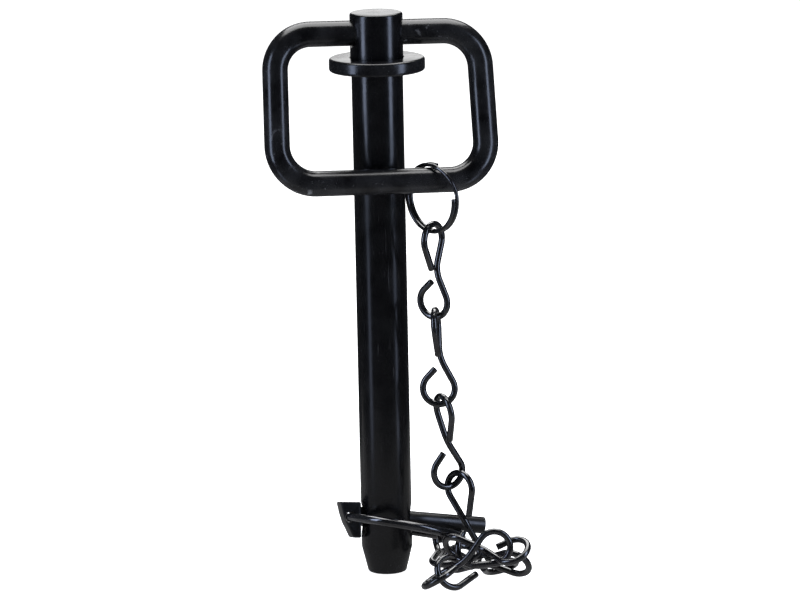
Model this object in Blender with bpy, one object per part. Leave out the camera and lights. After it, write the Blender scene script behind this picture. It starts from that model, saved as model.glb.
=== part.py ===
"""Hitch pin lock: a headed pin with a swinging bar handle, and a linch pin kept with it by a chain.

Lengths are in metres and +Z is up. The pin stands on its tip, with the origin at the middle of the tip's
flat end. Both cross holes run along X, and the handle hangs from the upper one, leaning to -Y.
"""

import math

import bmesh
import bpy
from mathutils import Matrix, Vector

MM = 0.001
GAP = 0.3 * MM

# Pin: a bar with a conical tip, a collar and a head above it
PIN_RADIUS = 9.525 * MM
HEAD_RADIUS = 9.8 * MM
TIP_RADIUS = 7.35 * MM
TIP_EDGE = 0.9 * MM
TAPER_LENGTH = 10.0 * MM
COLLAR_UNDERSIDE = 190.1 * MM
COLLAR_RADIUS = 17.75 * MM
COLLAR_THICKNESS = 5.0 * MM
COLLAR_EDGE = 1.1 * MM
HEAD_HEIGHT = 16.7 * MM
HEAD_EDGE = 1.0 * MM
PIN_SEGMENTS = 48

# Cross holes
HANDLE_HOLE_RADIUS = 5.25 * MM
HANDLE_HOLE_ABOVE_COLLAR = 9.1 * MM
LINCH_HOLE_RADIUS = 5.15 * MM
LINCH_HOLE_HEIGHT = 20.4 * MM
COUNTERSINK_RADIUS = 7.0 * MM
COUNTERSINK_DEPTH = 1.5 * MM
HOLE_SEGMENTS = 24

# Handle: one bar bent to a closed frame, a little wider at the bottom
HANDLE_BAR_RADIUS = 4.7625 * MM
HANDLE_HEIGHT = 55.2 * MM
HANDLE_TOP_HALF = 38.2 * MM
HANDLE_BOTTOM_HALF = 39.3 * MM
HANDLE_TOP_CORNER = 13.6 * MM
HANDLE_BOTTOM_CORNER = 14.1 * MM
# It sits a little askew in its hole, by this many degrees
HANDLE_TILT = 1.28

# Split ring: two turns of flat-lying wire with a jog between them
SPLIT_WIRE_RADIUS = 0.8 * MM
SPLIT_RING_RADIUS = 12.5 * MM
SPLIT_TURN_OFFSET = 0.9 * MM
SPLIT_RING_TURN = 121.0
SPLIT_START = 80.0
SPLIT_JOG_START = 295.0
SPLIT_JOG_END = 350.0
SPLIT_WIRE_ANGLE = 645.0
SPLIT_STEP = 12.0
SPLIT_RING_X = 18.0 * MM

# Chain link: one wire bent to two open hooks at right angles
LINK_WIRE_RADIUS = 1.25 * MM
LINK_LOOP_RADIUS = 6.0 * MM
LINK_LOOP_CENTRE = 11.75 * MM
LINK_LOOP_SHIFT = 1.2 * MM
LINK_ARC_STEPS = 12
# Where the wire's cut ends lie in the plane of their hook: beside the waist, and up from it
LINK_UPPER_END = (-2.6 * MM, 0.8 * MM)
LINK_LOWER_END = (-1.9 * MM, 4.3 * MM)

# Linch pin: a rod with a flat head, dropped by its slack in the hole and turned a little about its length
LINCH_ROD_RADIUS = 3.175 * MM
LINCH_ROD_LENGTH = 48.9 * MM
LINCH_SHOULDER = (-10.9 * MM, 0.0, 22.0 * MM)
LINCH_DROOP = 8.66
LINCH_ROLL = 14.0
LINCH_HEAD_THICKNESS = 8.4 * MM
LINCH_HEAD_EDGE = 0.7 * MM
# The head's side view in mm from the shoulder: top, outer side, foot, and the shoulder's own slant
LINCH_HEAD_OUTLINE = (
    (0.0, 4.9), (-7.9, 4.4), (-6.6, 0.3), (-5.2, -3.1), (-3.8, -5.3), (-2.0, -8.5), (1.2, -8.6),
)
LINCH_HINGE = (-3.5 * MM, 0.0, -1.2 * MM)
LINCH_HINGE_HOLE_RADIUS = 2.1 * MM

# Linch ring: spring wire, hinged in the head and snapped under the rod's free end
SNAP_WIRE_RADIUS = 1.6 * MM
SNAP_RING_RADIUS = 21.8 * MM
SNAP_RING_DROP = 5.3
SNAP_ARC_STEPS = 44
SNAP_END_HALF_GAP = 0.8 * MM
SNAP_BEND = 1.4 * MM

BLACK_COAT = (0.012, 0.012, 0.013)


def clear_scene():
    """Removes whatever the scene holds."""
    for obj in list(bpy.data.objects):
        bpy.data.objects.remove(obj)


def coat(name, roughness):
    """The black finish of one sub-part."""
    material = bpy.data.materials.new(name)
    material.use_nodes = True
    shader = material.node_tree.nodes["Principled BSDF"]
    shader.inputs["Base Color"].default_value = (*BLACK_COAT, 1.0)
    shader.inputs["Roughness"].default_value = roughness
    shader.inputs["Metallic"].default_value = 0.0
    return material


def add_object(name, data, location=(0.0, 0.0, 0.0), material=None):
    """Puts data in the scene as a named object, with its origin at location."""
    obj = bpy.data.objects.new(name, data)
    obj.location = location
    if material:
        data.materials.append(material)
    bpy.context.scene.collection.objects.link(obj)
    return obj


def mesh_from(bm, name):
    """Turns a finished bmesh into a smooth-shaded mesh with its faces pointing out."""
    bmesh.ops.remove_doubles(bm, verts=bm.verts, dist=1e-7)
    bmesh.ops.recalc_face_normals(bm, faces=bm.faces)
    mesh = bpy.data.meshes.new(name)
    bm.to_mesh(mesh)
    bm.free()
    mesh.shade_smooth()
    mesh.set_sharp_from_angle(angle=math.radians(35.0))
    return mesh


def turned(name, profile, segments, closed=False):
    """A mesh turned about Z from a profile of (radius, height) points."""
    bm = bmesh.new()
    verts = [bm.verts.new((radius, 0.0, height)) for radius, height in profile]
    pairs = list(zip(verts, verts[1:]))
    if closed:
        pairs.append((verts[-1], verts[0]))
    edges = [bm.edges.new(pair) for pair in pairs]
    bmesh.ops.spin(bm, geom=verts + edges, cent=(0, 0, 0), axis=(0, 0, 1), dvec=(0, 0, 0),
                   angle=math.tau, steps=segments, use_merge=True, use_duplicate=False)
    return mesh_from(bm, name)


def arc(centre, radius, start, end, steps):
    """Points of an arc in a plane, with angles in degrees."""
    angles = [math.radians(start + (end - start) * i / steps) for i in range(steps + 1)]
    return [(centre[0] + radius * math.cos(a), centre[1] + radius * math.sin(a)) for a in angles]


def wire(name, points, radius, material, origin, cyclic=False, resolution=2):
    """A round wire along world points, as a curve whose origin is at the given world point."""
    curve = bpy.data.curves.new(name, "CURVE")
    curve.dimensions = "3D"
    curve.bevel_depth = radius
    curve.bevel_resolution = resolution
    curve.use_fill_caps = True
    spline = curve.splines.new("POLY")
    spline.points.add(len(points) - 1)
    for point, place in zip(spline.points, points):
        point.co = (*(Vector(place) - Vector(origin)), 1.0)
    spline.use_cyclic_u = cyclic
    spline.use_smooth = True
    return add_object(name, curve, origin, material)


def cut(obj, cutter):
    """Cuts a helper's shape from an object."""
    cutter.hide_render = True
    cutter.display_type = "WIRE"
    modifier = obj.modifiers.new("Cut_" + cutter.name, "BOOLEAN")
    modifier.operation = "DIFFERENCE"
    modifier.solver = "EXACT"
    modifier.object = cutter


def join(obj, other):
    """Joins a helper's shape to an object, so that the two are one solid."""
    other.hide_render = True
    other.display_type = "WIRE"
    modifier = obj.modifiers.new("Join_" + other.name, "BOOLEAN")
    modifier.operation = "UNION"
    modifier.solver = "EXACT"
    modifier.object = other


def attach(child, parent):
    """Parents child to parent where both stand."""
    bpy.context.view_layer.update()
    child.parent = parent
    child.matrix_parent_inverse = parent.matrix_world.inverted()


def handle_axis_height():
    """Height of the hole that the handle turns in."""
    return COLLAR_UNDERSIDE + COLLAR_THICKNESS + HANDLE_HOLE_ABOVE_COLLAR


def pin_profile():
    """(radius, height) of the bar, from the middle of its tip to the middle of its head."""
    top = COLLAR_UNDERSIDE + COLLAR_THICKNESS + HEAD_HEIGHT
    shoulder = COLLAR_UNDERSIDE + COLLAR_THICKNESS / 2
    profile = [(0.0, 0.0)]
    profile += arc((TIP_RADIUS - TIP_EDGE, TIP_EDGE), TIP_EDGE, -90, -15, 3)
    profile += [(PIN_RADIUS - 0.05 * MM, TAPER_LENGTH - 0.6 * MM), (PIN_RADIUS, TAPER_LENGTH + 0.4 * MM)]
    profile += [(PIN_RADIUS, shoulder), (HEAD_RADIUS, shoulder + 0.3 * MM)]
    profile += arc((HEAD_RADIUS - HEAD_EDGE, top - HEAD_EDGE), HEAD_EDGE, 0, 90, 4)
    profile.append((0.0, top))
    return profile


def add_pin():
    """The bar, with a plain hole through its head and a countersunk one near its tip."""
    bar = turned("pin_bar", pin_profile(), PIN_SEGMENTS)
    pin = add_object("pin_bar", bar, material=coat("pin_coat", 0.22))
    reach = 2 * PIN_RADIUS
    across = Matrix.Rotation(math.radians(90.0), 4, "Y")

    handle_profile = [(0.0, -reach), (HANDLE_HOLE_RADIUS, -reach), (HANDLE_HOLE_RADIUS, reach), (0.0, reach)]
    handle_bore = turned("handle_bore", handle_profile, HOLE_SEGMENTS)
    handle_bore.transform(across)
    cut(pin, add_object("handle_bore", handle_bore, (0, 0, handle_axis_height())))

    mouth = PIN_RADIUS - COUNTERSINK_DEPTH
    slope = (COUNTERSINK_RADIUS - LINCH_HOLE_RADIUS) / COUNTERSINK_DEPTH
    wide = LINCH_HOLE_RADIUS + slope * (reach - mouth)
    linch_profile = [(0.0, -reach), (wide, -reach), (LINCH_HOLE_RADIUS, -mouth),
                     (LINCH_HOLE_RADIUS, mouth), (wide, reach), (0.0, reach)]
    linch_bore = turned("linch_bore", linch_profile, HOLE_SEGMENTS)
    linch_bore.transform(across)
    cut(pin, add_object("linch_bore", linch_bore, (0, 0, LINCH_HOLE_HEIGHT)))
    return pin


def add_collar():
    """The stop collar, a ring round the bar with softened edges."""
    inner, outer = PIN_RADIUS + GAP, COLLAR_RADIUS
    head_inner = HEAD_RADIUS + GAP
    low, high = COLLAR_UNDERSIDE, COLLAR_UNDERSIDE + COLLAR_THICKNESS
    step = COLLAR_UNDERSIDE + COLLAR_THICKNESS / 2
    profile = [(inner, low)]
    profile += arc((outer - COLLAR_EDGE, low + COLLAR_EDGE), COLLAR_EDGE, -90, 0, 3)
    profile += arc((outer - COLLAR_EDGE, high - COLLAR_EDGE), COLLAR_EDGE, 0, 90, 3)
    profile += [(head_inner, high), (head_inner, step), (inner, step - GAP)]
    mesh = turned("collar", profile, PIN_SEGMENTS, closed=True)
    return add_object("collar", mesh, material=coat("collar_coat", 0.25))


def rounded_frame(corners, steps=6):
    """A closed outline of (across, up) points through corners given as (across, up, radius)."""
    points = []
    count = len(corners)
    for i in range(count):
        corner = Vector(corners[i][:2])
        radius = corners[i][2]
        before = (Vector(corners[i - 1][:2]) - corner).normalized()
        after = (Vector(corners[(i + 1) % count][:2]) - corner).normalized()
        half = before.angle(after) / 2
        centre = corner + (before + after).normalized() * radius / math.sin(half)
        start = corner + before * radius / math.tan(half) - centre
        end = corner + after * radius / math.tan(half) - centre
        sweep = start.angle_signed(end)
        for k in range(steps + 1):
            turn = Matrix.Rotation(-sweep * k / steps, 2)
            points.append(tuple(centre + turn @ start))
    return points


def handle_lean():
    """Lean of the handle when its lower bar rests on the front of the pin, in radians."""
    return math.asin((PIN_RADIUS + HANDLE_BAR_RADIUS + GAP) / HANDLE_HEIGHT)


def handle_place(across, up):
    """World point of the handle's own (across, up) at rest."""
    lean = handle_lean()
    across, up = Matrix.Rotation(-math.radians(HANDLE_TILT), 2) @ Vector((across, up))
    return Vector((across, up * math.sin(lean), handle_axis_height() + up * math.cos(lean)))


def add_handle():
    """The closed bar handle, which turns in the head's hole."""
    corners = [
        (-HANDLE_TOP_HALF, 0.0, HANDLE_TOP_CORNER),
        (HANDLE_TOP_HALF, 0.0, HANDLE_TOP_CORNER),
        (HANDLE_BOTTOM_HALF, -HANDLE_HEIGHT, HANDLE_BOTTOM_CORNER),
        (-HANDLE_BOTTOM_HALF, -HANDLE_HEIGHT, HANDLE_BOTTOM_CORNER),
    ]
    points = [handle_place(across, up) for across, up in rounded_frame(corners)]
    return wire("handle", points, HANDLE_BAR_RADIUS, coat("handle_coat", 0.22), handle_place(0.0, 0.0),
                cyclic=True, resolution=4)


def split_ring_centre():
    """Middle of the split ring, which hangs on the handle's lower bar."""
    bar = handle_place(SPLIT_RING_X, -HANDLE_HEIGHT)
    inner = SPLIT_RING_RADIUS - SPLIT_WIRE_RADIUS
    return bar + Vector((0.0, 0.0, HANDLE_BAR_RADIUS + GAP - inner))


def add_split_ring():
    """The key-ring style split ring: two turns of one wire, side by side."""
    turn = math.radians(SPLIT_RING_TURN)
    across = Vector((-math.cos(turn), -math.sin(turn), 0.0))
    normal = Vector((math.sin(turn), -math.cos(turn), 0.0))
    up = Vector((0.0, 0.0, 1.0))
    points = []
    for i in range(int(SPLIT_WIRE_ANGLE / SPLIT_STEP) + 1):
        angle = i * SPLIT_STEP
        share = min(max((angle - SPLIT_JOG_START) / (SPLIT_JOG_END - SPLIT_JOG_START), 0.0), 1.0)
        shift = SPLIT_TURN_OFFSET * (1.0 - 2.0 * share)
        a = math.radians(SPLIT_START + angle)
        points.append(split_ring_centre() + SPLIT_RING_RADIUS * (math.cos(a) * across + math.sin(a) * up)
                      + shift * normal)
    bar = handle_place(SPLIT_RING_X, -HANDLE_HEIGHT)
    return wire("split_ring", points, SPLIT_WIRE_RADIUS, coat("ring_coat", 0.25), bar)


def tangent_point(point, centre, radius, side):
    """Where a line from point touches a circle, on the side given by +1 or -1."""
    reach = Vector(centre) - Vector(point)
    half = math.asin(radius / reach.length) * side
    along = reach.length * math.cos(half)
    turn = math.atan2(reach.y, reach.x) + half
    return Vector(point) + along * Vector((math.cos(turn), math.sin(turn)))


def hook_outline(end):
    """One hook in its plane, as (across, along): cut end, round the loop, and back towards the waist."""
    centre = (-LINK_LOOP_SHIFT, LINK_LOOP_CENTRE)
    cut_end = Vector(end)
    first = tangent_point(cut_end, centre, LINK_LOOP_RADIUS, 1)
    last = tangent_point((0.0, 0.0), centre, LINK_LOOP_RADIUS, -1)
    start = math.degrees(math.atan2(first.y - centre[1], first.x - centre[0])) % 360.0
    end = math.degrees(math.atan2(last.y - centre[1], last.x - centre[0]))
    points = [tuple(cut_end.lerp(first, share)) for share in (0.0, 1 / 3, 2 / 3)]
    points += arc(centre, LINK_LOOP_RADIUS, start, end, LINK_ARC_STEPS)
    return points + [tuple(last * share) for share in (0.7, 0.4)]


def link_points():
    """The wire of one link about its waist, with one hook up in XZ and the other down in YZ."""
    upper = [Vector((across, 0.0, along)) for across, along in hook_outline(LINK_UPPER_END)]
    lower = [Vector((0.0, -across, -along)) for across, along in hook_outline(LINK_LOWER_END)]
    start, end = upper[-1], lower[-1]
    waist = [(1 - t) ** 2 * start + t ** 2 * end for t in (0.25, 0.5, 0.75)]
    return upper + waist + lower[::-1]


# Where each link lies: its waist (x, y, z in mm), the compass heading of its lean, the lean from upright,
# and its turn about its own length, all in degrees. The last one hooks the linch ring.
LINKS = {
    "chain_link_1": (17.8, -13.7, 116.4, 147.0, 0.5, -102.0),
    "chain_link_2": (18.5, -14.1, 83.8, 115.0, 6.5, -43.5),
    "chain_link_3": (20.6, -14.7, 51.8, -158.5, 8.0, -96.0),
    "chain_link_4": (26.0, -17.9, 22.0, 123.0, 16.0, 4.5),
    "chain_link_5": (30.5, -32.6, 13.8, 133.5, 91.0, 147.5),
    "chain_link_6": (22.4, -35.8, 10.8, -5.5, 60.5, 171.5),
    "chain_link_7": (28.0, -28.9, 6.3, -157.5, 84.5, -148.0),
    "chain_link_8": (33.9, -19.0, 5.1, -38.0, 89.0, 35.5),
    "chain_link_9": (22.4, 2.0, 5.7, -90.0, 92.5, 96.0),
}


def turn_matrix(heading, lean, turn):
    """Rotation that leans the Z axis towards a heading, after a turn about itself, in degrees."""
    return (Matrix.Rotation(math.radians(heading), 4, "Z") @ Matrix.Rotation(math.radians(lean), 4, "Y")
            @ Matrix.Rotation(math.radians(turn), 4, "Z"))


def link_place(name):
    """World matrix of a link's waist."""
    x, y, z, heading, lean, turn = LINKS[name]
    return Matrix.Translation((x * MM, y * MM, z * MM)) @ turn_matrix(heading, lean, turn)


def add_link(name, pivot):
    """One link of the jack chain, with its origin where it hangs in the piece before it."""
    place = link_place(name)
    points = [place @ point for point in link_points()]
    return wire(name, points, LINK_WIRE_RADIUS, coat(name + "_coat", 0.25), pivot)


def lower_end(name):
    """Middle of the wire at the far end of a link's lower hook."""
    return link_place(name) @ Vector((0.0, LINK_LOOP_SHIFT, -LINK_LOOP_CENTRE - LINK_LOOP_RADIUS))


def linch_place():
    """World matrix of the linch pin: X along its rod, Y along its ring's hinge."""
    turn = Matrix.Rotation(math.radians(LINCH_DROOP), 4, "Y") @ Matrix.Rotation(-math.radians(LINCH_ROLL), 4, "X")
    return Matrix.Translation(LINCH_SHOULDER) @ turn


def linch_head():
    """The flat head: level on top, slanted inwards on the outside, and upright at the shoulder."""
    half = LINCH_HEAD_THICKNESS / 2
    bm = bmesh.new()
    face = bm.faces.new([bm.verts.new((x * MM, -half, z * MM)) for x, z in LINCH_HEAD_OUTLINE])
    swept = bmesh.ops.extrude_face_region(bm, geom=[face])
    moved = [item for item in swept["geom"] if isinstance(item, bmesh.types.BMVert)]
    bmesh.ops.translate(bm, verts=moved, vec=(0.0, 2 * half, 0.0))
    rims = [edge for edge in bm.edges if edge.calc_face_angle(0.0) > math.radians(30.0)]
    bmesh.ops.bevel(bm, geom=rims, offset=LINCH_HEAD_EDGE, segments=2, profile=0.5,
                    affect="EDGES", material=-1, clamp_overlap=True)
    return mesh_from(bm, "linch_head")


def add_linch_pin():
    """The linch pin: its rod and head as one forging, with a cross hole for the ring."""
    inset, edge = 2.0 * MM, 0.5 * MM
    radius, length = LINCH_ROD_RADIUS, LINCH_ROD_LENGTH
    profile = [(0.0, -inset), (radius, -inset), (radius, length - edge), (radius - edge, length), (0.0, length)]
    rod = turned("linch_pin", profile, 16)
    rod.transform(Matrix.Rotation(math.radians(90.0), 4, "Y"))
    rod.transform(linch_place())
    rod.transform(Matrix.Translation(-Vector(LINCH_SHOULDER)))
    pin = add_object("linch_pin", rod, LINCH_SHOULDER, coat("linch_coat", 0.28))

    head = linch_head()
    head.transform(linch_place())
    join(pin, add_object("linch_head", head))

    reach = LINCH_HEAD_THICKNESS
    bore_radius = LINCH_HINGE_HOLE_RADIUS
    bore = turned("hinge_bore", [(0.0, -reach), (bore_radius, -reach), (bore_radius, reach), (0.0, reach)], 12)
    bore.transform(Matrix.Rotation(math.radians(90.0), 4, "X"))
    bore.transform(linch_place() @ Matrix.Translation(LINCH_HINGE))
    cut(pin, add_object("hinge_bore", bore))
    return pin


def snap_ring_points():
    """The linch ring's wire: an open circle whose two ends meet inside the linch head."""
    place = linch_place() @ Matrix.Translation(LINCH_HINGE)
    drop = Matrix.Rotation(math.radians(SNAP_RING_DROP), 4, "Y")
    side = LINCH_HEAD_THICKNESS / 2
    first = math.asin((side + SNAP_BEND) / SNAP_RING_RADIUS)
    points = [Vector((0.0, SNAP_END_HALF_GAP, 0.0)), Vector((0.0, side, 0.0))]
    for i in range(SNAP_ARC_STEPS + 1):
        a = first + (math.tau - 2 * first) * i / SNAP_ARC_STEPS
        points.append(Vector((SNAP_RING_RADIUS * (1 - math.cos(a)), SNAP_RING_RADIUS * math.sin(a), 0.0)))
    points += [Vector((0.0, -side, 0.0)), Vector((0.0, -SNAP_END_HALF_GAP, 0.0))]
    return [place @ drop @ point for point in points]


def add_linch_ring():
    """The sprung snap ring, hinged in the linch pin's head."""
    hinge = linch_place() @ Vector(LINCH_HINGE)
    return wire("linch_ring", snap_ring_points(), SNAP_WIRE_RADIUS, coat("snap_coat", 0.2), hinge, resolution=4)


def main():
    """Builds every piece and parents each to the piece that carries it."""
    clear_scene()
    pin = add_pin()
    attach(add_collar(), pin)
    handle = add_handle()
    attach(handle, pin)
    split_ring = add_split_ring()
    attach(split_ring, handle)

    linch_pin = add_linch_pin()
    attach(linch_pin, pin)
    linch_ring = add_linch_ring()
    attach(linch_ring, linch_pin)

    names = list(LINKS)
    carrier = split_ring
    for name, before in zip(names[:-1], [None] + names):
        pivot = lower_end(before) if before else split_ring_centre() - Vector((0, 0, SPLIT_RING_RADIUS))
        link = add_link(name, pivot)
        attach(link, carrier)
        carrier = link
    last = names[-1]
    attach(add_link(last, lower_end(last)), linch_ring)


if __name__ == "__main__":
    main()
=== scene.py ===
"""Looks of a hitch pin lock: finer pieces, their finishes, the studio and the camera.

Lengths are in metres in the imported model's frame: +Z up the pin, the cross holes along X, and the
handle leaning to -Y. Every piece keeps its object at the origin, with its place in its mesh.
"""

import logging
import math
from dataclasses import dataclass
from enum import Enum

import bmesh
import bpy
from mathutils import Matrix, Vector


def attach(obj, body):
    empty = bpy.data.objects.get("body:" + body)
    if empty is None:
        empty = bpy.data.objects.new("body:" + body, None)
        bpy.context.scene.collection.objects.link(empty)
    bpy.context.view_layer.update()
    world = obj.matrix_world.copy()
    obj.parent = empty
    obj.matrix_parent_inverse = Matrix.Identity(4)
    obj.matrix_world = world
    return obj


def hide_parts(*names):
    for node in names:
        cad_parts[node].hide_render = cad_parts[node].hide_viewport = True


MM = 0.001
# Angles in degrees past which an edge is drawn sharp, and past which a cut rim is softened
SHARP_EDGE = 35.0
RIM_ANGLE = 50.0
RIM_SEGMENTS = 3
# Points nearer than this, in metres, are one point
MERGE_DISTANCE = 1e-7
# Share of its radius at which a flat end has an inner ring of points
END_RING = 0.5
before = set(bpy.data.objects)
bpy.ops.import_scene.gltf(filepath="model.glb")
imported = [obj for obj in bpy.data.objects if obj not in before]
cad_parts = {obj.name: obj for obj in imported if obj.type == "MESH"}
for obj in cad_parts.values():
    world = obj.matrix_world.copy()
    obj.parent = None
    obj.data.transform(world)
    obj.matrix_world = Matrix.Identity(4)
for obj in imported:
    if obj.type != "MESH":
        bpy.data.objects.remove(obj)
log = logging.getLogger("hitch_pin_lock")
CentreLine = list[Vector]
FlatPoints = list[tuple[float, float]]


# -------------------- materials


def linear(hex_colour: str) -> tuple[float, float, float, float]:
    """Turn an sRGB hex colour into linear RGBA.

    Args:
        hex_colour: A colour such as "#101114".

    Returns:
        The linear colour with an alpha of 1.
    """
    values = [int(hex_colour[i : i + 2], 16) / 255 for i in (1, 3, 5)]
    red, green, blue = [v / 12.92 if v <= 0.04045 else ((v + 0.055) / 1.055) ** 2.4 for v in values]
    return red, green, blue, 1.0


def add_node(tree: bpy.types.NodeTree, kind: str, links: dict | None = None,
             **settings: object) -> bpy.types.Node:
    """Add a node, give it its settings, and fill its inputs.

    Args:
        tree: The node tree to add to.
        kind: The node's type name.
        links: Input name or index, to a value or to the socket that feeds it.
        **settings: Properties of the node itself.

    Returns:
        The new node.
    """
    node = tree.nodes.new(kind)
    for name, value in settings.items():
        setattr(node, name, value)
    for name, value in (links or {}).items():
        if isinstance(value, bpy.types.NodeSocket):
            tree.links.new(value, node.inputs[name])
        else:
            node.inputs[name].default_value = value
    return node


# Width of the slow change in tone and gloss, and of the areas that are rubbed, in millimetres
CLOUD_MM = 9.0
SCUFF_ZONE_MM = 24.0
# How much rougher a fully worn spot is
WORN_ROUGHNESS = 0.35


class Scuff(Enum):
    """How a finish is rubbed, as the stretch of the marks along X, Y and Z and their width in millimetres.

    NONE is unrubbed, DRAGGED has fine lines along Z, and PATCHED has short patches.
    """

    NONE = None
    DRAGGED = ((1.0, 1.0, 0.05), 0.7)
    PATCHED = ((0.5, 1.0, 0.35), 1.6)


@dataclass(frozen=True)
class BlackFinish:
    """A black surface on steel, with its texture sizes in millimetres.

    Attributes:
        name: The material's name.
        colour: The coat's colour.
        worn: The colour where it is dusty or rubbed.
        roughness: Roughness of the clean coat.
        spread: How far roughness varies each way.
        peel_mm: Width of the coat's own ripple.
        peel_depth_mm: Height of that ripple.
        grain_mm: Width of the fine grain.
        grain_depth_mm: Height of the fine grain.
        dust: Share of the surface that carries pale specks.
        scuff: How it is rubbed.
        coat: Weight of the glossy layer.
    """

    name: str
    colour: str
    worn: str
    roughness: float
    spread: float
    peel_mm: float
    peel_depth_mm: float
    grain_mm: float
    grain_depth_mm: float
    dust: float
    scuff: Scuff = Scuff.NONE
    coat: float = 0.0

    def material(self) -> bpy.types.Material:
        """Build the node material.

        Returns:
            The material, which reads Object coordinates.
        """
        material = bpy.data.materials.new(self.name)
        material.use_nodes = True
        tree = material.node_tree
        shader = tree.nodes["Principled BSDF"]
        place = add_node(tree, "ShaderNodeTexCoord").outputs["Object"]
        cloud = self._noise(tree, place, CLOUD_MM, 4.0)
        peel = self._noise(tree, place, self.peel_mm, 2.0, 0.4)
        grain = self._noise(tree, place, self.grain_mm, 3.0, 0.6)
        worn = self._worn(tree, place, grain)

        tone = add_node(tree, "ShaderNodeMapRange",
                        {"Value": cloud, "From Min": 0.3, "From Max": 0.7, "To Min": 0.0, "To Max": 0.12})
        blend = add_node(tree, "ShaderNodeMath", {0: worn, 1: tone.outputs["Result"]},
                         operation="ADD", use_clamp=True)
        colour = add_node(tree, "ShaderNodeMix",
                          {"Factor": blend.outputs["Value"], "A": linear(self.colour),
                           "B": linear(self.worn)}, data_type="RGBA")
        rough = add_node(tree, "ShaderNodeMapRange",
                         {"Value": cloud, "From Min": 0.3, "From Max": 0.7,
                          "To Min": self.roughness - self.spread, "To Max": self.roughness + self.spread})
        rougher = add_node(tree, "ShaderNodeMath", {0: worn, 1: WORN_ROUGHNESS, 2: rough.outputs["Result"]},
                           operation="MULTIPLY_ADD", use_clamp=True)
        ripple = add_node(tree, "ShaderNodeBump",
                          {"Height": peel, "Distance": self.peel_depth_mm * MM, "Strength": 1.0})
        relief = add_node(tree, "ShaderNodeBump",
                          {"Height": grain, "Distance": self.grain_depth_mm * MM, "Strength": 1.0,
                           "Normal": ripple.outputs["Normal"]})
        tree.links.new(colour.outputs["Result"], shader.inputs["Base Color"])
        tree.links.new(rougher.outputs["Value"], shader.inputs["Roughness"])
        tree.links.new(relief.outputs["Normal"], shader.inputs["Normal"])
        shader.inputs["IOR"].default_value = 1.5
        shader.inputs["Coat Weight"].default_value = self.coat
        shader.inputs["Coat Roughness"].default_value = 0.08
        return material

    @staticmethod
    def _noise(tree: bpy.types.NodeTree, place: bpy.types.NodeSocket, width_mm: float, detail: float,
               fineness: float = 0.5) -> bpy.types.NodeSocket:
        """Build a noise of a real width.

        Args:
            tree: The node tree to add to.
            place: The coordinates it is read at.
            width_mm: Width of its largest spots, in millimetres.
            detail: How many finer layers it has.
            fineness: How strong each finer layer is.

        Returns:
            The noise's socket.
        """
        return add_node(tree, "ShaderNodeTexNoise",
                        {"Vector": place, "Scale": 1 / (width_mm * MM), "Detail": detail,
                         "Roughness": fineness}).outputs["Fac"]

    def _worn(self, tree: bpy.types.NodeTree, place: bpy.types.NodeSocket,
              grain: bpy.types.NodeSocket) -> bpy.types.NodeSocket:
        """Build the dusty and rubbed areas as a mask.

        Args:
            tree: The node tree to add to.
            place: The Object coordinates.
            grain: The fine grain, whose peaks hold the dust.

        Returns:
            The mask's socket, from 0, clean, to 1, worn.
        """
        specks = add_node(tree, "ShaderNodeMapRange",
                          {"Value": grain, "From Min": 0.70 - self.dust, "From Max": 0.78})
        if self.scuff is Scuff.NONE:
            return specks.outputs["Result"]
        stretch, width_mm = self.scuff.value
        drawn_out = add_node(tree, "ShaderNodeMapping", {"Vector": place, "Scale": stretch})
        lines = self._noise(tree, drawn_out.outputs["Vector"], width_mm, 5.0)
        where = self._noise(tree, place, SCUFF_ZONE_MM, 1.0)
        line = add_node(tree, "ShaderNodeMapRange", {"Value": lines, "From Min": 0.62, "From Max": 0.74})
        zone = add_node(tree, "ShaderNodeMapRange",
                        {"Value": where, "From Min": 0.52, "From Max": 0.66, "To Max": 0.8})
        rubbed = add_node(tree, "ShaderNodeMath",
                          {0: line.outputs["Result"], 1: zone.outputs["Result"]}, operation="MULTIPLY")
        return add_node(tree, "ShaderNodeMath",
                        {0: specks.outputs["Result"], 1: rubbed.outputs["Value"]},
                        operation="MAXIMUM", use_clamp=True).outputs["Value"]


# Polyester powder coat on round bar: sprayed and baked, glossy, with a soft orange-peel ripple and
# fine lines where it has been slid in and out of a drawbar
BAR_COAT = BlackFinish("black_powder_coat_bar", "#040405", "#26272a", roughness=0.21, spread=0.05,
                       peel_mm=1.9, peel_depth_mm=0.018, grain_mm=0.45, grain_depth_mm=0.0024,
                       dust=0.01, scuff=Scuff.DRAGGED)
# The same coat where it pooled on flat tops: thicker, more mottled and dustier
FLANGE_COAT = BlackFinish("black_powder_coat_collar", "#050506", "#3c3e42", roughness=0.20, spread=0.06,
                          peel_mm=1.3, peel_depth_mm=0.020, grain_mm=0.4, grain_depth_mm=0.005,
                          dust=0.05)
# The same coat on the bent handle bar, chipped and rubbed by handling
HANDLE_COAT = BlackFinish("black_powder_coat_handle", "#040405", "#5a5c60", roughness=0.22, spread=0.05,
                          peel_mm=2.1, peel_depth_mm=0.020, grain_mm=0.5, grain_depth_mm=0.0024,
                          dust=0.01, scuff=Scuff.PATCHED)
# A thinner, duller coat on the drop-forged linch pin
FORGING_COAT = BlackFinish("black_coat_forging", "#030304", "#2c2d2f", roughness=0.30, spread=0.06,
                           peel_mm=1.1, peel_depth_mm=0.014, grain_mm=0.35, grain_depth_mm=0.005,
                           dust=0.03, scuff=Scuff.PATCHED)
# Cold-drawn spring wire with black zinc plating: smooth and bright
SPRING_PLATING = BlackFinish("black_plated_spring_wire", "#050506", "#54565b", roughness=0.15, spread=0.04,
                             peel_mm=0.9, peel_depth_mm=0.004, grain_mm=0.25, grain_depth_mm=0.0012,
                             dust=0.01, coat=1.0)
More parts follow.
